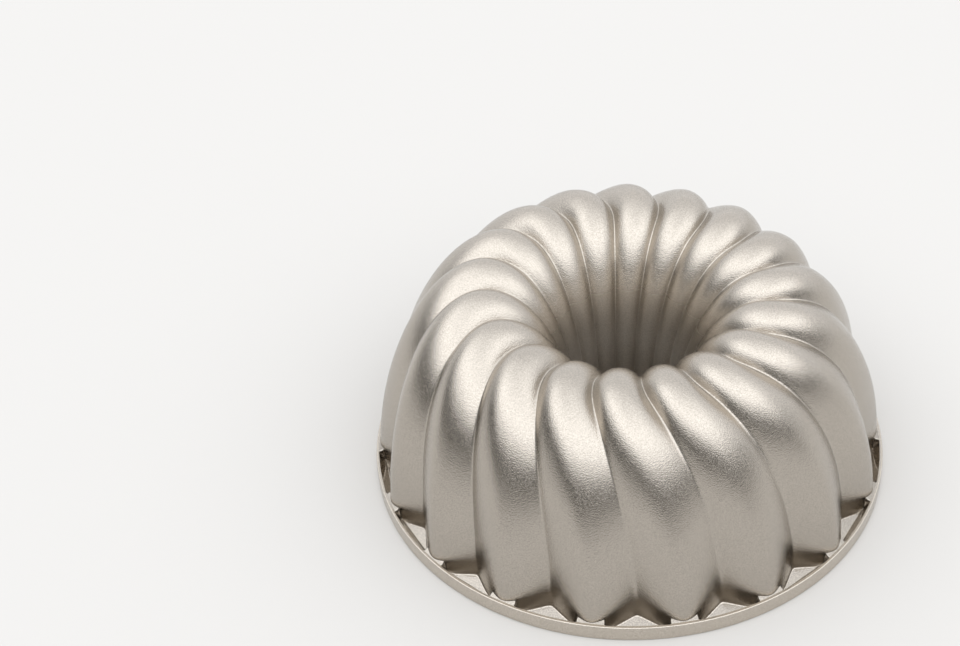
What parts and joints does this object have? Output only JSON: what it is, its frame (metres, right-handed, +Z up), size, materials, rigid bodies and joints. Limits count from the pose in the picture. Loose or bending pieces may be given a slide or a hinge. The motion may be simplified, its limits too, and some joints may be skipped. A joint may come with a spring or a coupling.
{
  "type": "fluted tube pan",
  "caption": "Round cast ring mould with swirled flutes, a closed centre tube and a flat lipped rim, standing mouth down on its rim.",
  "frame": {"origin": "centre of the flat rim plane that the pan stands on", "axes": "+Z up along the axis of the centre tube, from the rim towards the crown; at the rim a flute ridge lies on +X"},
  "size_m": [0.25, 0.25, 0.106],
  "materials": {
    "coated_metal": "fine metallic champagne coat with a soft satin gloss",
    "bare_rim": "satin pale metal on the flat rim and tube end"
  },
  "bodies": {
    "root": {"rim_flange": "coated_metal", "fluted_wall": "coated_metal", "crown": "coated_metal", "centre_tube": "coated_metal", "tube_end": "bare_rim"}
  },
  "joints": []
}
